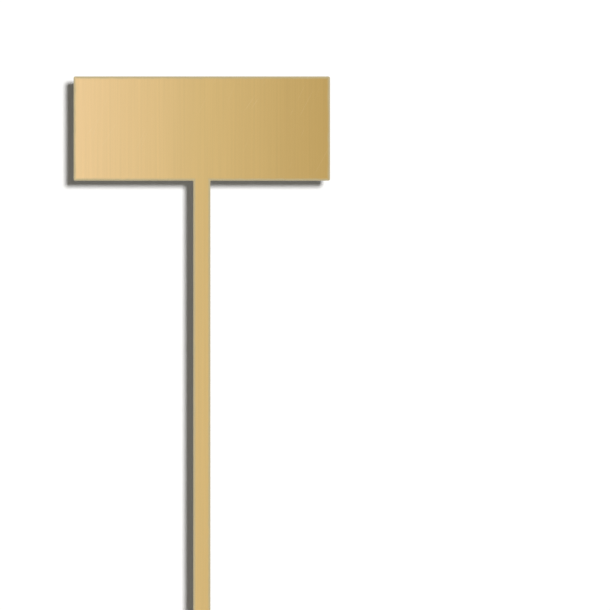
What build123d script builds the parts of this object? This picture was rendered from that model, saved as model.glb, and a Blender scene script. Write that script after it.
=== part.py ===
from build123d import *
from math import radians, sin, tan
import os

# Plant label stake: a T-shaped marker that is pushed into the soil of a pot.
# A thin gold-coloured metal sheet is bonded to the front of a black acrylic stake of the same outline.
# +Z runs up the stake and -Y is the way that the label faces.
# The origin is on the centre line, at the soil line and halfway through the thickness.

# Outline of the stake, in millimetres
head_width = 75.0
head_height = 30.5
stem_width = 5.0
stem_length = 169.5  # from the tip to the lower edge of the head
point_angle = 20.0  # between the two sides of the point, in degrees
planted_depth = 65.0  # from the tip to the soil line

# Radii of the outline's corners
head_corner_radius = 0.5
inner_corner_radius = 0.4
shoulder_radius = 3.0
tip_radius = 0.5

# Layers, from the back of the stake to its face
core_thickness = 3.0
film_thickness = 0.13
sheet_thickness = 0.5

# Edges of the layers
core_melt_radius = 0.15  # the cut edge of acrylic melts a little round
sheet_edge_radius = 0.12  # the blanked edge of the sheet rolls over towards its face
film_inset = 0.5  # how far the bonding film stays inside the outline

# Heights along the stake, from the soil line
# The sides of the point would meet at the apex, a little below the rounded tip
half_angle = radians(point_angle / 2)
tip_height = -planted_depth
apex_height = tip_height + tip_radius - tip_radius / sin(half_angle)
shoulder_height = apex_height + stem_width / 2 / tan(half_angle)
head_base_height = tip_height + stem_length
head_top_height = head_base_height + head_height

# Distances towards the face, from the middle of the thickness
total_thickness = core_thickness + film_thickness + sheet_thickness
core_back = -total_thickness / 2
film_back = core_back + core_thickness
sheet_back = film_back + film_thickness

os.makedirs("parts", exist_ok=True)

# The T that the core and the sheet are both cut to: one side, mirrored, then the rounded tip
with BuildSketch() as outline:
    with BuildLine():
        FilletPolyline(
            (0, apex_height),
            (stem_width / 2, shoulder_height),
            (stem_width / 2, head_base_height),
            (head_width / 2, head_base_height),
            (head_width / 2, head_top_height),
            (0, head_top_height),
            radius=[shoulder_radius, inner_corner_radius, head_corner_radius, head_corner_radius],
        )
        mirror(about=Plane.YZ)
    make_face()
    fillet(outline.vertices().sort_by(Axis.Y)[0], tip_radius)

# Stake core: the stiff black acrylic T, with the edge round its back melted a little round
with BuildPart() as stake_core:
    with BuildSketch(Plane.XZ.offset(core_back)):
        add(outline.sketch)
    extrude(amount=core_thickness)
    fillet(stake_core.faces().sort_by(Axis.Y)[-1].outer_wire().edges(), core_melt_radius)
stake_core.part.label = "stake_core"

# Head film: the patch of double-sided bonding film behind the label
film_width = head_width - 2 * film_inset
film_height = head_height - 2 * film_inset
film_base_height = head_base_height + film_inset
with BuildPart() as head_film:
    with BuildSketch(Plane.XZ.offset(film_back)):
        with Locations((0, film_base_height)):
            Rectangle(film_width, film_height, align=(Align.CENTER, Align.MIN))
    extrude(amount=film_thickness)
head_film.part.label = "head_film"

# Stem film: the strip of the same film down the stem, from the patch to where the point begins
with BuildPart() as stem_film:
    with BuildSketch(Plane.XZ.offset(film_back)):
        with Locations((0, shoulder_height)):
            Rectangle(
                stem_width - 2 * film_inset,
                film_base_height - shoulder_height,
                align=(Align.CENTER, Align.MIN),
            )
    extrude(amount=film_thickness)
stem_film.part.label = "stem_film"

# Face sheet: the gold-coloured sheet, head and stem in one, with the edge round its face rolled over
with BuildPart() as face_sheet:
    with BuildSketch(Plane.XZ.offset(sheet_back)):
        add(outline.sketch)
    extrude(amount=sheet_thickness)
    fillet(face_sheet.faces().sort_by(Axis.Y)[0].outer_wire().edges(), sheet_edge_radius)
face_sheet.part.label = "face_sheet"

for piece in (stake_core, head_film, stem_film, face_sheet):
    export_step(piece.part, f"parts/{piece.part.label}.step")
    print(piece.part.label, f"{piece.part.volume:.1f} mm3")
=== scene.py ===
# %% [markdown]
# # A plant label stake
#
# The stake is a flat T that stands in the soil of a pot. A gold-coloured sheet is bonded to the
# front of a black acrylic T of the same outline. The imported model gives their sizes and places. This
# script sets a studio round them, then gives them their cut edges and finishes.

from math import cos, degrees, pi, radians, sin, tan

import bmesh
import bpy
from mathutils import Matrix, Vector


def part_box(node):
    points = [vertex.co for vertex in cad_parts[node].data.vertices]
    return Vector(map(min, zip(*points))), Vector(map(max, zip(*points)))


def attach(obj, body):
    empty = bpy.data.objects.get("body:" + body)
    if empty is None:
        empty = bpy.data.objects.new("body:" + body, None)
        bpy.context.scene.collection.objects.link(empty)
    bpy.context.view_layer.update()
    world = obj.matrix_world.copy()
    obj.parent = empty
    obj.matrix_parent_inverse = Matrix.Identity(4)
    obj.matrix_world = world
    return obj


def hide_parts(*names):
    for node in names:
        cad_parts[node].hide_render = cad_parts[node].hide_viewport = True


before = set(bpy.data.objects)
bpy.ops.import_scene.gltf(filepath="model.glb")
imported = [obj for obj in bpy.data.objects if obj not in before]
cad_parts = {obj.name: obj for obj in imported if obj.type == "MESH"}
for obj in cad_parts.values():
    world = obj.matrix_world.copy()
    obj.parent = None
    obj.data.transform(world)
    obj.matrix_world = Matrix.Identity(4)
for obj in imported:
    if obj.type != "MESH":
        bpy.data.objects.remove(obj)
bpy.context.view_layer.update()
MM = 0.001
print("pieces of the stake:", sorted(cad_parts))

# %% [markdown]
# ## Sizes, read from the model
#
# The sizes could be typed in again, but then they could drift from the model. The boxes of the four
# pieces hold them all, apart from the angle of the point and the corner radii. The bonding film
# stays a little inside the outline, so its own box, let out by that inset, gives the head's lower
# edge and the stem's width. Its strip on the stem ends where the point begins.

# %% Read the sizes
sheet_low, sheet_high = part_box("face_sheet")
patch_low, patch_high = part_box("head_film")
strip_low, strip_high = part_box("stem_film")

film_inset = sheet_high.x - patch_high.x
head_half = sheet_high.x
head_top = sheet_high.z
head_base = patch_low.z - film_inset
stem_half = strip_high.x + film_inset
shoulder = strip_low.z
tip = sheet_low.z
face_y = sheet_low.y
back_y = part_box("stake_core")[1].y

# The sides of the point would meet at the apex, a little below the rounded tip
HALF_POINT = radians(10)
apex = shoulder - stem_half / tan(HALF_POINT)

HEAD_CORNER = 0.5 * MM
INNER_CORNER = 0.4 * MM
SHOULDER_BEND = 3.0 * MM
TIP_ROUND = 0.5 * MM
print(f"head {2 * head_half / MM:.1f} mm by {(head_top - head_base) / MM:.1f} mm")
print(f"stem {2 * stem_half / MM:.1f} mm wide, {(head_base - tip) / MM:.1f} mm long")

# %% [markdown]
# ## Camera
#
# The photograph is taken straight on, with no perspective to see. A flat projection would do, but
# a very long lens from five metres shows the same and stays a real camera from every other side.
# The head's edges in the photograph set the scale, and the camera stands opposite the middle of
# the picture, so that nothing has to be shifted.

# %% Set the camera
PHOTO_SIDE = 610
PHOTO_HEAD_LEFT = 73.6
PHOTO_HEAD_RIGHT = 330.0
PHOTO_HEAD_TOP = 76.4
LENS = 1000
SENSOR = 36
VIEW_REACH = 100

metres_per_pixel = 2 * head_half / (PHOTO_HEAD_RIGHT - PHOTO_HEAD_LEFT)
photo_middle = PHOTO_SIDE / 2
camera_x = (photo_middle - (PHOTO_HEAD_LEFT + PHOTO_HEAD_RIGHT) / 2) * metres_per_pixel
camera_z = head_top - (photo_middle - PHOTO_HEAD_TOP) * metres_per_pixel
camera_distance = LENS / SENSOR * PHOTO_SIDE * metres_per_pixel

camera_data = bpy.data.cameras.new("camera")
camera_data.lens = LENS
camera_data.sensor_width = SENSOR
camera_data.clip_end = VIEW_REACH
camera = bpy.data.objects.new("camera", camera_data)
camera.location = (camera_x, face_y - camera_distance, camera_z)
camera.rotation_euler = (pi / 2, 0, 0)
bpy.context.scene.collection.objects.link(camera)
bpy.context.scene.camera = camera
bpy.context.scene.view_settings.view_transform = "Standard"
print(f"camera {camera_distance:.2f} m away, {metres_per_pixel / MM:.3f} mm to a pixel")

# %% [markdown]
# ## Three small helpers
#
# One turns a colour written as on a paint chart into the linear light that the shaders work in.
# One adds a node to a tree, sets it up and wires its inputs, for shaders and for Geometry Nodes
# alike. Math, Mix and some other nodes have several inputs of one name, so an input may also be
# given by its place in the node's list. The last starts an empty material.

# %% Colour and node helpers
def linear(hex_colour):
    """An sRGB colour such as "#c8a467" as linear red, green, blue and an alpha of one."""
    levels = [int(hex_colour[i : i + 2], 16) / 255 for i in (1, 3, 5)]
    return [v / 12.92 if v <= 0.04045 else ((v + 0.055) / 1.055) ** 2.4 for v in levels] + [1]


def add_node(tree, kind, inputs=None, **settings):
    """Adds a node, applies its settings, and sets or links each input by its name or its place."""
    node = tree.nodes.new(kind)
    for setting, value in settings.items():
        setattr(node, setting, value)
    for key, value in (inputs or {}).items():
        if isinstance(value, bpy.types.NodeSocket):
            tree.links.new(value, node.inputs[key])
        else:
            node.inputs[key].default_value = value
    return node


def new_material(name):
    """An empty material with its tree and output node."""
    material = bpy.data.materials.new(name)
    material.use_nodes = True
    material.node_tree.nodes.clear()
    return material, material.node_tree, add_node(material.node_tree, "ShaderNodeOutputMaterial")


print("the chart's middle grey is", round(linear("#808080")[0], 3), "in linear light")

# %% [markdown]
# ## Wall and floor
#
# The white wall stands a finger's width behind the stake and takes its shadow. A curved paper
# backdrop would give the same picture, but a flat wall keeps the shadow's distance the same all
# round. Its brightness is part paint and part glow, so that the lit wall is white and the shadow an
# even dark grey, as in the photograph. The glow is tinted a little warm, a painted bounce of light
# from the gold that shows only in the shadow. The wall and the floor show from their front only, so
# the stake can be seen from behind and below too. The wall casts no shadow, so light from behind
# passes it, and the gloss behind doesn't mirror it.

# %% Build the wall and the floor
WALL_GAP = 15 * MM
WALL_HALF = 3.0
FLOOR_HALF = 10.0
wall_y = back_y + WALL_GAP


def plane(name, corners):
    """A stage plane through four corners."""
    mesh = bpy.data.meshes.new(name)
    mesh.from_pydata(corners, [], [tuple(range(len(corners)))])
    piece = bpy.data.objects.new(name, mesh)
    bpy.context.scene.collection.objects.link(piece)
    return piece


wall = plane("wall", [
    (-WALL_HALF, wall_y, tip),
    (WALL_HALF, wall_y, tip),
    (WALL_HALF, wall_y, tip + WALL_HALF),
    (-WALL_HALF, wall_y, tip + WALL_HALF),
])
wall.visible_shadow = False
wall.visible_glossy = False
floor = plane("floor", [
    (-FLOOR_HALF, -FLOOR_HALF, tip),
    (FLOOR_HALF, -FLOOR_HALF, tip),
    (FLOOR_HALF, FLOOR_HALF, tip),
    (-FLOOR_HALF, FLOOR_HALF, tip),
])
print("wall faces", tuple(round(v) for v in wall.data.polygons[0].normal))

# %% White paint that keeps a shadow
WALL_PAINT = 1.0
WALL_GLOW = 0.07
# The warm tint is painted bounce light from the gold, seen only in the wall's shadow
WALL_GLOW_AND_PAINTED_BOUNCE = "#fff5d4"
FLOOR_PAINT = 0.55
FLOOR_GLOW = 0.50
FLOOR_GLOW_COLOUR = "#ffffff"
SCATTER = 0.1


def seen_directly(tree):
    """One for what the camera sees, also mirrored or through glass, and nought for scattered light."""
    path = add_node(tree, "ShaderNodeLightPath").outputs
    seen = path["Is Camera Ray"]
    for ray in ("Is Glossy Ray", "Is Transmission Ray"):
        seen = add_node(tree, "ShaderNodeMath", {0: seen, 1: path[ray]}, operation="MAXIMUM").outputs[0]
    return seen


def stage_paint(name, paint, glow, glow_colour):
    """White one-sided paint with a glow of its own, which the camera sees and which lights nothing."""
    material, tree, output = new_material(name)
    seen = seen_directly(tree)
    level = add_node(tree, "ShaderNodeMapRange", {"Value": seen, "To Min": SCATTER, "To Max": paint})
    diffuse = add_node(tree, "ShaderNodeBsdfDiffuse", {"Color": level.outputs[0]})
    strength = add_node(tree, "ShaderNodeMath", {0: seen, 1: glow}, operation="MULTIPLY")
    emission = add_node(tree, "ShaderNodeEmission", {
        "Color": linear(glow_colour),
        "Strength": strength.outputs[0],
    })
    front = add_node(tree, "ShaderNodeAddShader", {0: diffuse.outputs[0], 1: emission.outputs[0]})
    clear = add_node(tree, "ShaderNodeBsdfTransparent")
    side = add_node(tree, "ShaderNodeNewGeometry")
    one_sided = add_node(tree, "ShaderNodeMixShader", {
        0: side.outputs["Backfacing"],
        1: front.outputs[0],
        2: clear.outputs[0],
    })
    tree.links.new(one_sided.outputs[0], output.inputs["Surface"])
    # A sampled lamp can't tell which kind of ray it answers, so the glow isn't sampled as one
    material.cycles.emission_sampling = "NONE"
    return material


print("share of the paint that scattered light meets:", SCATTER)

# %% Paint the wall and the floor
wall.data.materials.append(stage_paint("wall_paint", WALL_PAINT, WALL_GLOW, WALL_GLOW_AND_PAINTED_BOUNCE))
floor.data.materials.append(stage_paint("floor_paint", FLOOR_PAINT, FLOOR_GLOW, FLOOR_GLOW_COLOUR))
print("painted:", wall.data.materials[0].name, "and", floor.data.materials[0].name)

# %% [markdown]
# ## Light
#
# The shadow lies to the left of the stake and a little below it, as from one lamp a little above
# the camera and to its right. Its place on the wall, in the photograph's pixels, aims the lamp, and
# the lamp's size gives the shadow its soft edge. An area lamp would do too, but the shadow of a sun
# is shifted alike all along the stake. A broad sun above lights the floor and the cut edges, and a
# broader one behind lights the back. The rest is even light from the white room. The camera and the
# gloss see that room at full white, and don't see the lamps.

# %% Place the lamps
SHADOW_LEFT = 9.4
SHADOW_DOWN = 6.0
KEY_LEVEL = 0.93
KEY_SIZE = radians(6.2)
TOP_DIRECTION = (0.1, -0.15, -1)
TOP_LEVEL = 0.75
TOP_SIZE = radians(30)
BACK_DIRECTION = (0.3, -1, -0.5)
BACK_LEVEL = 0.45
BACK_SIZE = radians(60)

shadow_fall = wall_y - face_y
key_direction = (-SHADOW_LEFT * metres_per_pixel, shadow_fall, -SHADOW_DOWN * metres_per_pixel)


def sun(name, direction, level, size):
    """A lamp far away, bright enough to light white paint that faces it to the given level."""
    data = bpy.data.lights.new(name, "SUN")
    data.energy = level * pi
    data.angle = size
    lamp = bpy.data.objects.new(name, data)
    lamp.rotation_euler = Vector(direction).to_track_quat("-Z", "Y").to_euler()
    lamp.visible_glossy = False
    bpy.context.scene.collection.objects.link(lamp)


sun("key", key_direction, KEY_LEVEL, KEY_SIZE)
sun("top", TOP_DIRECTION, TOP_LEVEL, TOP_SIZE)
sun("back", BACK_DIRECTION, BACK_LEVEL, BACK_SIZE)
print("shadow falls", round(shadow_fall / MM, 1), "mm behind the face")

# %% Light the room
ROOM_LEVEL = 0.03

world = bpy.data.worlds.new("room")
world.use_nodes = True
# For the same reason, the room's light isn't sampled as a lamp
world.cycles.sampling_method = "NONE"
bpy.context.scene.world = world
tree = world.node_tree
tree.nodes.clear()
strength = add_node(tree, "ShaderNodeMapRange", {
    "Value": seen_directly(tree),
    "To Min": ROOM_LEVEL,
    "To Max": 1.0,
})
room = add_node(tree, "ShaderNodeBackground", {"Color": linear("#ffffff"), "Strength": strength.outputs[0]})
add_node(tree, "ShaderNodeOutputWorld", {"Surface": room.outputs[0]})
print("even light from the room:", ROOM_LEVEL)

# %% [markdown]
# ## The T, cut from sheet
#
# Both layers are cut to one outline: the sheet is blanked or routed, and the acrylic is cut by a
# laser. Each could be drawn point by point, but nine corners, each with its own radius, say all
# that the shape needs. So one Geometry Nodes tree makes both layers. It rounds the corners, sweeps
# a profile of the cut edge round them and fills the two flat sides.

# %% The outline's corners
right_side = [
    (0, apex, TIP_ROUND),
    (stem_half, shoulder, SHOULDER_BEND),
    (stem_half, head_base, INNER_CORNER),
    (head_half, head_base, HEAD_CORNER),
    (head_half, head_top, HEAD_CORNER),
]
left_side = [(-x, height, radius) for x, height, radius in reversed(right_side[1:])]
corners = right_side + left_side


def line_mesh(name, points, closed, **attributes):
    """Points joined in a row, with one value per point for each attribute."""
    count = len(points)
    edges = [(i, (i + 1) % count) for i in range(count if closed else count - 1)]
    mesh = bpy.data.meshes.new(name)
    mesh.from_pydata(points, edges, [])
    for attribute, values in attributes.items():
        mesh.attributes.new(attribute, "FLOAT", "POINT").data.foreach_set("value", values)
    line = bpy.data.objects.new(name, mesh)
    bpy.context.scene.collection.objects.link(line)
    return line


print("corners of the outline:", len(corners))

# %% [markdown]
# ## The cut edge
#
# No cut sheet has a knife-sharp edge. A blanked sheet rolls over towards its face, and laser-cut
# acrylic melts a little round at its back. A bevel on a finished solid would round every edge
# alike, so the edge is drawn as a profile instead, with a radius of its own at each end. Its points
# also carry a value called rim, which is one on the cut and fades to nothing on the flat side
# beside it. A finish can then tell the cut from the sheet's own surface.

# %% The profile of a cut edge
RIM_WIDTH = 0.45 * MM
ROUND_STEPS = 4


def edge_profile(name, back, face, back_round, face_round):
    """The cut edge from the back to the face, as distances outwards and heights, with its rim marked."""
    points = [(-RIM_WIDTH, back)]
    for middle, bend, start in ((back + back_round, back_round, -90), (face - face_round, face_round, 0)):
        for i in range(ROUND_STEPS + 1 if bend else 1):
            angle = radians(start + 90 * i / ROUND_STEPS)
            points.append((bend * (cos(angle) - 1), middle + bend * sin(angle)))
    points.append((-RIM_WIDTH, face))
    rim = [0] + [1] * (len(points) - 2) + [0]
    # A swept profile's second axis points down from a flat outline, so the heights are turned over
    turned = [(outwards, -height, 0) for outwards, height in points]
    return line_mesh(name, turned, False, rim=rim)


print(f"the rim fades over {RIM_WIDTH / MM:.2f} mm")

# %% [markdown]
# ## The tree that cuts a layer
#
# A laser leaves fine ribs across its cut. They could be a bump in the shader, but then the outline
# would stay dead straight. So where a layer has ribs, the tree puts a point at every rib and sets
# it in by a small random depth before the edge is swept.

# %% Round the corners and set in the ribs
def cut_path(tree, given, outwards):
    """The outline as a curve with rounded corners, set in at random where the layer has ribs."""
    line = add_node(tree, "GeometryNodeMeshToCurve", {"Mesh": given["Outline"]})
    radius = add_node(tree, "GeometryNodeInputNamedAttribute", {"Name": "corner_radius"})
    rounded = add_node(tree, "GeometryNodeFilletCurve", {
        "Curve": line.outputs[0],
        "Count": given["Corner Points"],
        "Radius": radius.outputs[0],
        "Limit Radius": True,
    }, mode="POLY")
    # With Z up, the curve's normals stay in the plane of the outline and point outwards
    flat = add_node(tree, "GeometryNodeSetCurveNormal", {"Curve": rounded.outputs[0]}, mode="Z_UP")
    fine = add_node(tree, "GeometryNodeResampleCurve", {
        "Curve": flat.outputs[0],
        "Length": given["Rib Pitch"],
    }, mode="LENGTH")
    ribbed = add_node(tree, "FunctionNodeCompare", {0: given["Rib Depth"], 1: 0.0}, operation="GREATER_THAN")
    path = add_node(tree, "GeometryNodeSwitch", {
        "Switch": ribbed.outputs[0],
        "False": flat.outputs[0],
        "True": fine.outputs[0],
    }, input_type="GEOMETRY")
    depth = add_node(tree, "FunctionNodeRandomValue", {
        2: 0.0,
        3: given["Rib Depth"],
        "Seed": given["Seed"],
    }, data_type="FLOAT")
    inset = add_node(tree, "ShaderNodeMath", {0: depth.outputs[1], 1: -1.0}, operation="MULTIPLY")
    offset = add_node(tree, "ShaderNodeVectorMath", {
        0: outwards,
        "Scale": inset.outputs[0],
    }, operation="SCALE")
    cut = add_node(tree, "GeometryNodeSetPosition", {
        "Geometry": path.outputs["Output"],
        "Offset": offset.outputs[0],
    })
    return cut.outputs[0]


radii = sorted({radius for _, _, radius in corners})
print("radii that the tree rounds, in millimetres:", [round(radius / MM, 1) for radius in radii])

# %% Sweep the edge and fill the sides
def swept_edge(tree, given, path):
    """The profile swept round the path, smooth across its small radii."""
    drawn = add_node(tree, "GeometryNodeObjectInfo", {"Object": given["Profile"]})
    profile = add_node(tree, "GeometryNodeMeshToCurve", {"Mesh": drawn.outputs["Geometry"]})
    edge = add_node(tree, "GeometryNodeCurveToMesh", {"Curve": path, "Profile Curve": profile.outputs[0]})
    smooth = add_node(tree, "GeometryNodeSetShadeSmooth", {"Geometry": edge.outputs[0], "Shade Smooth": True})
    return smooth.outputs[0]


def flat_side(tree, given, path, outwards, height):
    """One flat side, filled in inside the rim and lifted to its height."""
    inwards = add_node(tree, "ShaderNodeMath", {0: given["Rim Width"], 1: -1.0}, operation="MULTIPLY")
    inset = add_node(tree, "ShaderNodeVectorMath", {
        0: outwards,
        "Scale": inwards.outputs[0],
    }, operation="SCALE")
    inner = add_node(tree, "GeometryNodeSetPosition", {"Geometry": path, "Offset": inset.outputs[0]})
    side = add_node(tree, "GeometryNodeFillCurve", {"Curve": inner.outputs[0]}, mode="NGONS")
    lift = add_node(tree, "ShaderNodeCombineXYZ", {"Z": given[height]}).outputs[0]
    lifted = add_node(tree, "GeometryNodeTransform", {"Geometry": side.outputs[0], "Translation": lift})
    flat = add_node(tree, "GeometryNodeSetShadeSmooth", {
        "Geometry": lifted.outputs[0],
        "Shade Smooth": False,
    })
    return flat.outputs[0]


print("flat sides begin", round(RIM_WIDTH / MM, 2), "mm in from the edge")

# %% Put the tree together
MERGE_GAP = 0.001 * MM
LAYER_INPUTS = {
    "Outline": "Geometry",
    "Profile": "Object",
    "Back": "Float",
    "Face": "Float",
    "Rim Width": "Float",
    "Corner Points": "Int",
    "Rib Pitch": "Float",
    "Rib Depth": "Float",
    "Seed": "Int",
    "Material": "Material",
}


def layer_tree():
    """Geometry Nodes that cut one layer of the T and stand it upright."""
    tree = bpy.data.node_groups.new("cut layer", "GeometryNodeTree")
    tree.is_modifier = True
    for name, kind in LAYER_INPUTS.items():
        tree.interface.new_socket(name=name, in_out="INPUT", socket_type="NodeSocket" + kind)
    tree.interface.new_socket(name="Layer", in_out="OUTPUT", socket_type="NodeSocketGeometry")
    given = add_node(tree, "NodeGroupInput").outputs
    outwards = add_node(tree, "GeometryNodeInputNormal").outputs["Normal"]

    path = cut_path(tree, given, outwards)
    whole = add_node(tree, "GeometryNodeJoinGeometry")
    for height in ("Back", "Face"):
        tree.links.new(flat_side(tree, given, path, outwards, height), whole.inputs[0])
    tree.links.new(swept_edge(tree, given, path), whole.inputs[0])
    joined = add_node(tree, "GeometryNodeMergeByDistance", {
        "Geometry": whole.outputs[0],
        "Distance": MERGE_GAP,
    })
    upright = add_node(tree, "GeometryNodeTransform", {
        "Geometry": joined.outputs[0],
        "Rotation": (pi / 2, 0, 0),
    })
    real = add_node(tree, "GeometryNodeRealizeInstances", {"Geometry": upright.outputs[0]})
    dressed = add_node(tree, "GeometryNodeSetMaterial", {
        "Geometry": real.outputs[0],
        "Material": given["Material"],
    })
    add_node(tree, "NodeGroupOutput", {"Layer": dressed.outputs[0]})
    return tree


cut_layer = layer_tree()
print("nodes in the tree:", len(cut_layer.nodes))

# %% Turn the result into a plain mesh
def keep_result(piece):
    """Makes what the modifier shows the piece's own mesh, with its faces pointing outwards."""
    evaluated = piece.evaluated_get(bpy.context.evaluated_depsgraph_get())
    mesh = bpy.data.meshes.new_from_object(evaluated)
    piece.modifiers.clear()
    piece.data = mesh
    shell = bmesh.new()
    shell.from_mesh(mesh)
    bmesh.ops.recalc_face_normals(shell, faces=shell.faces)
    open_edges = sum(not edge.is_manifold for edge in shell.edges)
    shell.to_mesh(mesh)
    shell.free()
    print(f"{piece.name}: {len(mesh.polygons)} faces, {open_edges} open edges")


print("inputs of the tree:", list(LAYER_INPUTS))

# %% Run the tree for one layer
CORNER_POINTS = 6


def make_layer(name, node, back_round, face_round, material, **ribs):
    """Runs the tree on the outline and returns the layer as a plain, closed mesh."""
    low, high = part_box(node)
    back, face = -high.y, -low.y
    flat_corners = [(x, height, 0) for x, height, _ in corners]
    outline = line_mesh(name, flat_corners, True, corner_radius=[radius for _, _, radius in corners])
    profile = edge_profile(name + "_edge", back, face, back_round, face_round)
    modifier = outline.modifiers.new("cut", "NODES")
    modifier.node_group = cut_layer
    values = {
        "Profile": profile,
        "Back": back,
        "Face": face,
        "Rim Width": RIM_WIDTH,
        "Corner Points": CORNER_POINTS,
        "Material": material,
        **ribs,
    }
    for item in cut_layer.interface.items_tree:
        if item.in_out == "INPUT" and item.name in values:
            modifier[item.identifier] = values[item.name]
    keep_result(outline)
    bpy.data.objects.remove(profile)
    return outline


print("points that the tree adds at each corner:", CORNER_POINTS)

# %% [markdown]
# ## Patterns for the finishes
#
# Brushing, wiping and laser cutting all leave marks that are long one way and narrow the other.
# Stretched noise draws them at a size given in millimetres. Scratches are the thin walls between
# large cells, broken up by noise, and dust is what a flat side cuts off a cloud of small balls.
# Photographs of scratches would do as well, but patterns in the solid's own space need no image
# and have no seams.

# %% Noise, scratches and dust
SCRATCH_SHOWS = (0.52, 0.62)


def stretched_noise(tree, place, sizes, detail=2.0):
    """Soft noise whose blotches have the given sizes along X, Y and Z."""
    scaled = add_node(tree, "ShaderNodeMapping", {"Vector": place, "Scale": sizes}, vector_type="TEXTURE")
    noise = add_node(tree, "ShaderNodeTexNoise", {
        "Vector": scaled.outputs[0],
        "Scale": 1.0,
        "Detail": detail,
    })
    return noise.outputs[0]


def scratches(tree, place, turn, spacing, length, width):
    """Thin, nearly straight lines at a slant to the stake, broken up along their length."""
    turned = add_node(tree, "ShaderNodeMapping", {
        "Vector": place,
        "Rotation": (0, turn, 0),
        "Scale": (spacing, spacing, length),
    }, vector_type="TEXTURE")
    cells = add_node(tree, "ShaderNodeTexVoronoi", {
        "Vector": turned.outputs[0],
        "Scale": 1.0,
    }, feature="DISTANCE_TO_EDGE")
    line = add_node(tree, "ShaderNodeMapRange", {
        "Value": cells.outputs["Distance"],
        "From Max": width / spacing,
        "To Min": 1.0,
        "To Max": 0.0,
    })
    kept = add_node(tree, "ShaderNodeMapRange", {
        "Value": stretched_noise(tree, place, (spacing, spacing, spacing)),
        "From Min": SCRATCH_SHOWS[0],
        "From Max": SCRATCH_SHOWS[1],
    })
    broken = add_node(tree, "ShaderNodeMath", {0: line.outputs[0], 1: kept.outputs[0]}, operation="MULTIPLY")
    return broken.outputs[0]


def dust(tree, place, spacing, size):
    """Specks up to the given size, strewn unevenly."""
    cells = add_node(tree, "ShaderNodeTexVoronoi", {"Vector": place, "Scale": 1 / spacing}, feature="F1")
    return add_node(tree, "ShaderNodeMapRange", {
        "Value": cells.outputs["Distance"],
        "From Max": size / 2 / spacing,
        "To Min": 1.0,
        "To Max": 0.0,
    }).outputs[0]


def laid_over(tree, colour, layers):
    """A colour with others laid over it, each through its own mask."""
    for mask, tone in layers:
        mix = add_node(tree, "ShaderNodeMix", {"Factor": mask, 6: colour, 7: linear(tone)}, data_type="RGBA")
        colour = mix.outputs[2]
    return colour


print("a scratch shows where its noise passes", SCRATCH_SHOWS[0])

# %% [markdown]
# ## Gold-anodised aluminium
#
# The face is aluminium sheet, brushed along the stake, then anodised and dyed gold. To the eye it
# is a satin metal whose colour shifts softly across the head, paler at one side and deeper at the
# other, with fine streaks down the stake. That shift is light on the metal, and a lamp mirrored in
# the metal would give it too, but it would slide as the view turns, and other light would lose it.
# So the shift is painted into the dye's colour as a ramp from one end of the head to the other: a
# painted sheen at the pale end and painted shade at the deep end, round the dye's own gold in the
# middle. The painted shift stays wherever the stake is used.

# %% Dye of the face, with a painted sheen and painted shade
# The pale end is a painted sheen and the deep end painted shade, round the dye's own gold
DYE_PAINTED_SHEEN = "#ebcb97"
DYE_MIDDLE = "#d4b67a"
DYE_PAINTED_SHADE = "#c0a162"
HALFWAY = 0.5


def dye_with_painted_sheen(tree, place):
    """The dye's gold, with a painted sheen at the left end of the head and painted shade at the right."""
    across = add_node(tree, "ShaderNodeSeparateXYZ", {0: place}).outputs["X"]
    share = add_node(tree, "ShaderNodeMapRange", {
        "Value": across,
        "From Min": -head_half,
        "From Max": head_half,
    })
    ramp = add_node(tree, "ShaderNodeValToRGB", {0: share.outputs[0]})
    ramp.color_ramp.elements[0].color = linear(DYE_PAINTED_SHEEN)
    ramp.color_ramp.elements[1].color = linear(DYE_PAINTED_SHADE)
    ramp.color_ramp.elements.new(HALFWAY).color = linear(DYE_MIDDLE)
    return ramp.outputs[0]


print("dye from", DYE_PAINTED_SHEEN, "to", DYE_PAINTED_SHADE)

# %% [markdown]
# ## Worn edges
#
# Handling and soil rub the dye off a label's edges first, and leave a duller, greyer metal there.
# The rim value of the cut edge would draw that wear as an even stripe. The T has only straight
# sides, so the shader can work out how far in from the nearest one a point lies. Noise added to
# that distance makes the wear ragged.

# %% How far in from the edge
def from_sides(tree, place, *sides):
    """The distance to the nearest of some straight sides, each a point on it and the way inwards."""
    nearest = None
    for point, inwards in sides:
        offset = add_node(tree, "ShaderNodeVectorMath", {0: place, 1: point}, operation="SUBTRACT")
        reach = add_node(tree, "ShaderNodeVectorMath", {
            0: offset.outputs[0],
            1: inwards,
        }, operation="DOT_PRODUCT").outputs["Value"]
        if nearest is None:
            nearest = reach
        else:
            nearest = add_node(tree, "ShaderNodeMath", {0: nearest, 1: reach}, operation="MINIMUM").outputs[0]
    return nearest


def inside_edge(tree, place):
    """The distance from the outline of the T, worked out on its right half and mirrored."""
    axes = add_node(tree, "ShaderNodeSeparateXYZ", {0: place}).outputs
    aside = add_node(tree, "ShaderNodeMath", {0: axes["X"]}, operation="ABSOLUTE")
    half = add_node(tree, "ShaderNodeCombineXYZ", {"X": aside.outputs[0], "Z": axes["Z"]}).outputs[0]
    in_head = from_sides(tree, half, ((head_half, 0, 0), (-1, 0, 0)), ((0, 0, head_base), (0, 0, 1)))
    point_side = ((0, 0, apex), (-cos(HALF_POINT), 0, sin(HALF_POINT)))
    in_stem = from_sides(tree, half, ((stem_half, 0, 0), (-1, 0, 0)), point_side)
    in_either = add_node(tree, "ShaderNodeMath", {0: in_head, 1: in_stem}, operation="MAXIMUM").outputs[0]
    under_top = from_sides(tree, half, ((0, 0, head_top), (0, 0, -1)))
    return add_node(tree, "ShaderNodeMath", {0: in_either, 1: under_top}, operation="MINIMUM").outputs[0]


print(f"the point's sides lean in by {degrees(HALF_POINT):.0f} degrees")

# %% Wear along the edge
WORN_EDGE = "#beb088"
WEAR_FULL = 0.2 * MM
WEAR_REACH = 0.9 * MM
WEAR_WANDER = 0.25 * MM
WEAR_PATCHES = (2 * MM, 2 * MM, 3 * MM)


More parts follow.
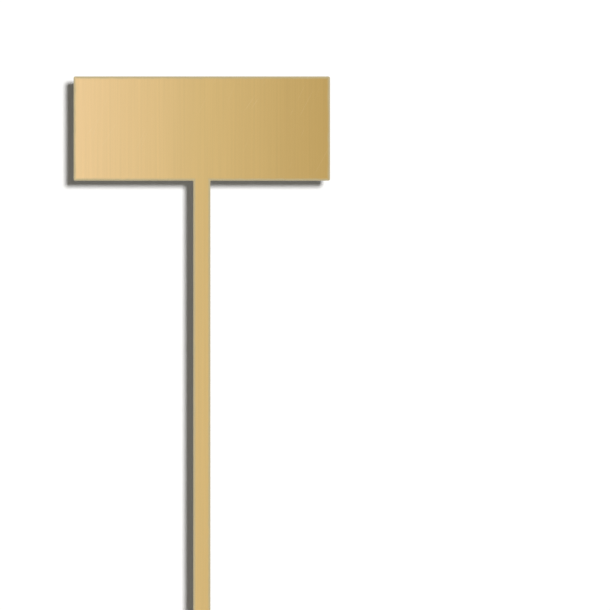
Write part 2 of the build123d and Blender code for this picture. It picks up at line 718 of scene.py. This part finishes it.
def edge_wear(tree, place):
    """One along the outline, fading to nought at a ragged line further in."""
    patches = stretched_noise(tree, place, WEAR_PATCHES, detail=5.0)
    wander = add_node(tree, "ShaderNodeMapRange", {
        "Value": patches,
        "To Min": -WEAR_WANDER,
        "To Max": WEAR_WANDER,
    })
    ragged = add_node(tree, "ShaderNodeMath", {
        0: inside_edge(tree, place),
        1: wander.outputs[0],
    }, operation="ADD")
    return add_node(tree, "ShaderNodeMapRange", {
        "Value": ragged.outputs[0],
        "From Min": WEAR_FULL,
        "From Max": WEAR_REACH,
        "To Min": 1.0,
        "To Max": 0.0,
    }, interpolation_type="SMOOTHSTEP").outputs[0]


print(f"wear reaches {WEAR_REACH / MM:.1f} mm in, give or take {WEAR_WANDER / MM:.2f} mm")

# %% [markdown]
# ## Brushed grain
#
# Brushing leaves fine lines that catch the light together. A picture of brushed metal could be laid
# on, but it would repeat or blur up close. So one stretched noise changes the metal's shade, gloss
# and relief together, as real brushing does, and a wider one adds the bands that a brush leaves.
# A few faint scratches cross the lines, because a label is wiped clean by hand.

# %% Grain of the face
# The real grain is some 0.05 mm wide and wouldn't show, so it is drawn coarser
GRAIN = (0.6 * MM, 0.6 * MM, 60 * MM)
GRAIN_SHADE = (0.91, 1.09)
GRAIN_DEPTH = 0.002 * MM
BRUSH_BANDS = (5 * MM, 5 * MM, 400 * MM)
BAND_SHADE = (0.97, 1.03)


def brushed_shade(tree, grain, bands):
    """How much lighter or darker the fine grain and the wide bands make the dye."""
    fine = add_node(tree, "ShaderNodeMapRange", {
        "Value": grain,
        "To Min": GRAIN_SHADE[0],
        "To Max": GRAIN_SHADE[1],
    })
    wide = add_node(tree, "ShaderNodeMapRange", {
        "Value": bands,
        "To Min": BAND_SHADE[0],
        "To Max": BAND_SHADE[1],
    })
    both = add_node(tree, "ShaderNodeMath", {0: fine.outputs[0], 1: wide.outputs[0]}, operation="MULTIPLY")
    return both.outputs[0]


print(f"grain drawn {GRAIN[0] / MM:.1f} mm wide and {GRAIN[2] / MM:.0f} mm long")

# %% Finish of the face
# The paler lines of a satin grain are a little rougher, and worn metal is half dulled by oxide
SATIN = (0.36, 0.52)
WORN_METALLIC = 0.5
RUBBED = "#e8d8b4"
RUBBED_MOST = 0.2
# Real scratches are under 0.02 mm wide, and are drawn wider so that they show
FACE_SCRATCHES = {"turn": radians(25), "spacing": 8 * MM, "length": 90 * MM, "width": 0.05 * MM}


def anodised_gold():
    """Satin metal with painted sheen and shade across the head, soft grain, light scratches, worn edges."""
    material, tree, output = new_material("brushed_anodised_aluminium")
    place = add_node(tree, "ShaderNodeTexCoord").outputs["Object"]
    grain = stretched_noise(tree, place, GRAIN, detail=3.0)
    shade = brushed_shade(tree, grain, stretched_noise(tree, place, BRUSH_BANDS))
    # The dye's ramp carries the painted sheen and the painted shade across the head
    streaked = add_node(tree, "ShaderNodeHueSaturation", {"Value": shade, "Color": dye_with_painted_sheen(tree, place)})
    scratched = scratches(tree, place, **FACE_SCRATCHES)
    faint = add_node(tree, "ShaderNodeMapRange", {"Value": scratched, "To Max": RUBBED_MOST}).outputs[0]
    wear = edge_wear(tree, place)
    colour = laid_over(tree, streaked.outputs[0], ((faint, RUBBED), (wear, WORN_EDGE)))
    metallic = add_node(tree, "ShaderNodeMapRange", {"Value": wear, "To Min": 1.0, "To Max": WORN_METALLIC})
    rough = add_node(tree, "ShaderNodeMapRange", {"Value": grain, "To Min": SATIN[0], "To Max": SATIN[1]})
    relief = add_node(tree, "ShaderNodeBump", {"Height": grain, "Distance": GRAIN_DEPTH})
    metal = add_node(tree, "ShaderNodeBsdfPrincipled", {
        "Base Color": colour,
        "Metallic": metallic.outputs[0],
        "Roughness": rough.outputs[0],
        "Normal": relief.outputs[0],
    })
    tree.links.new(metal.outputs[0], output.inputs["Surface"])
    return material


gold_finish = anodised_gold()
print(gold_finish.name, "has", len(gold_finish.node_tree.nodes), "nodes")

# %% [markdown]
# ## The gold face
#
# The die that cuts the sheet rolls its front edge over and leaves no ribs. So this layer gets a
# round at its face, a square back and none of the tree's ribs. A second tree without ribs would
# do, but with the rib depth left at nought the same tree cuts a smooth outline.

# %% The gold face
SHEET_ROUND = 0.12 * MM

gold_face = make_layer("gold_face", "face_sheet", 0, SHEET_ROUND, gold_finish)

# %% [markdown]
# ## Black cast acrylic
#
# The core is cast acrylic, black all through. Its back is the sheet's own polished surface, deep
# black with a clear gloss, and shows every wipe mark, hairline and speck of dust. The laser leaves
# its cut edge clean and a little duller, with fine ribs from back to face. Two shaders mixed at
# the edge would do, but one whose colour, gloss and relief follow the rim value is simpler.

# %% Marks on the core
ACRYLIC_BLACK = "#0b0b0c"
CUT_BLACK = "#141415"
WIPE_HAZE = "#3a3a3d"
HAIRLINE = "#5e5e60"
DUST_GREY = "#9a978f"
WIPE_MARKS = (9 * MM, 9 * MM, 26 * MM)
WIPE_SHOWS = (0.4, 0.7)
# Real hairlines and dust are finer still, and are drawn larger so that they show
HAIRLINES = (
    {"turn": radians(-35), "spacing": 7 * MM, "length": 30 * MM, "width": 0.04 * MM},
    {"turn": radians(60), "spacing": 11 * MM, "length": 50 * MM, "width": 0.04 * MM},
)
SPECKS = {"spacing": 1.5 * MM, "size": 0.3 * MM}


def marked_black(tree, place, wiped, rim):
    """Black with wipe marks, hairlines and dust on its own surface, and clean on the cut."""
    haze = add_node(tree, "ShaderNodeMapRange", {
        "Value": wiped,
        "From Min": WIPE_SHOWS[0],
        "From Max": WIPE_SHOWS[1],
    })
    marks = [(haze.outputs[0], WIPE_HAZE)]
    marks += [(scratches(tree, place, **hairline), HAIRLINE) for hairline in HAIRLINES]
    marks += [(dust(tree, place, **SPECKS), DUST_GREY), (rim, CUT_BLACK)]
    return laid_over(tree, linear(ACRYLIC_BLACK), marks)


print("sets of hairlines:", len(HAIRLINES))

# %% Finish of the core
# The laser's ribs are some 0.1 mm wide, and are drawn coarser so that they show
LASER_RIBS = (0.3 * MM, 30 * MM, 0.3 * MM)
RIB_RELIEF = 0.012 * MM
POLISHED = (0.05, 0.20)
LASER_CUT = (0.20, 0.40)
ACRYLIC_IOR = 1.49


def black_acrylic():
    """Glossy black plastic, wiped and a little dusty, with a duller laser-cut edge."""
    material, tree, output = new_material("black_cast_acrylic")
    place = add_node(tree, "ShaderNodeTexCoord").outputs["Object"]
    rim = add_node(tree, "ShaderNodeAttribute", attribute_name="rim").outputs["Fac"]
    wiped = stretched_noise(tree, place, WIPE_MARKS, detail=4.0)
    ribs = stretched_noise(tree, place, LASER_RIBS)
    polished = add_node(tree, "ShaderNodeMapRange", {
        "Value": wiped,
        "To Min": POLISHED[0],
        "To Max": POLISHED[1],
    })
    cut = add_node(tree, "ShaderNodeMapRange", {
        "Value": ribs,
        "To Min": LASER_CUT[0],
        "To Max": LASER_CUT[1],
    })
    rough = add_node(tree, "ShaderNodeMix", {"Factor": rim, 2: polished.outputs[0], 3: cut.outputs[0]})
    height = add_node(tree, "ShaderNodeMath", {0: ribs, 1: rim}, operation="MULTIPLY")
    relief = add_node(tree, "ShaderNodeBump", {"Height": height.outputs[0], "Distance": RIB_RELIEF})
    plastic = add_node(tree, "ShaderNodeBsdfPrincipled", {
        "Base Color": marked_black(tree, place, wiped, rim),
        "Roughness": rough.outputs[0],
        "IOR": ACRYLIC_IOR,
        "Normal": relief.outputs[0],
    })
    tree.links.new(plastic.outputs[0], output.inputs["Surface"])
    return material


acrylic_finish = black_acrylic()
print(acrylic_finish.name, "has", len(acrylic_finish.node_tree.nodes), "nodes")

# %% [markdown]
# ## The acrylic core
#
# The heat of the laser rounds the core's back edge a little and leaves ribs round the whole
# outline. The real ribs are finer, and are spaced wider here so that each one shows.

# %% The acrylic core
CORE_ROUND = 0.15 * MM
LASER_CUT_RIBS = {"Rib Pitch": 0.4 * MM, "Rib Depth": 0.03 * MM, "Seed": 2}

acrylic_core = make_layer("acrylic_core", "stake_core", CORE_ROUND, 0, acrylic_finish, **LASER_CUT_RIBS)

# %% [markdown]
# ## Bonding film
#
# The sheet is held by thin double-sided film, an acrylic glue on both sides of a clear carrier. It
# ends just inside the outline, so only a milky hairline shows between the gold and the black. Its
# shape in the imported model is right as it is, so the two strips stay and get a finish: a cloudy
# plastic with the small bubbles that such a film traps.

# %% Finish of the film
FILM_CLEAR = "#cfcfc8"
FILM_CLOUDY = "#e6e5de"
FILM_BUBBLE = "#f6f5f0"
FILM_CLOUDS = (3 * MM, 3 * MM, 3 * MM)
FILM_BUBBLES = {"spacing": 0.8 * MM, "size": 0.4 * MM}
BUBBLE_HEIGHT = 0.015 * MM
GLUE_ROUGH = (0.35, 0.60)
GLUE_IOR = 1.47


def bonding_film():
    """Milky film with cloudy patches and fine bubbles."""
    material, tree, output = new_material("acrylic_bonding_film")
    place = add_node(tree, "ShaderNodeTexCoord").outputs["Object"]
    cloud = stretched_noise(tree, place, FILM_CLOUDS, detail=3.0)
    bubbles = dust(tree, place, **FILM_BUBBLES)
    colour = laid_over(tree, linear(FILM_CLEAR), ((cloud, FILM_CLOUDY), (bubbles, FILM_BUBBLE)))
    rough = add_node(tree, "ShaderNodeMapRange", {
        "Value": cloud,
        "To Min": GLUE_ROUGH[0],
        "To Max": GLUE_ROUGH[1],
    })
    relief = add_node(tree, "ShaderNodeBump", {"Height": bubbles, "Distance": BUBBLE_HEIGHT})
    glue = add_node(tree, "ShaderNodeBsdfPrincipled", {
        "Base Color": colour,
        "Roughness": rough.outputs[0],
        "IOR": GLUE_IOR,
        "Normal": relief.outputs[0],
    })
    tree.links.new(glue.outputs[0], output.inputs["Surface"])
    return material


film_finish = bonding_film()
print(film_finish.name, "has", len(film_finish.node_tree.nodes), "nodes")

# %% The two strips of film
for node in ("head_film", "stem_film"):
    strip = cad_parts[node]
    strip.data.materials.clear()
    strip.data.materials.append(film_finish)
    print(node, "dressed in", film_finish.name)

# %% [markdown]
# ## Join the frame
#
# Nothing on the stake moves, so both layers ride on its one body. Each hides the solid that it
# was cut to, and takes its place.

# %% Ride and replace
for piece, node, slot in ((gold_face, "face_sheet", "face"), (acrylic_core, "stake_core", "core")):
    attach(piece, "root")
    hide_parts(node)
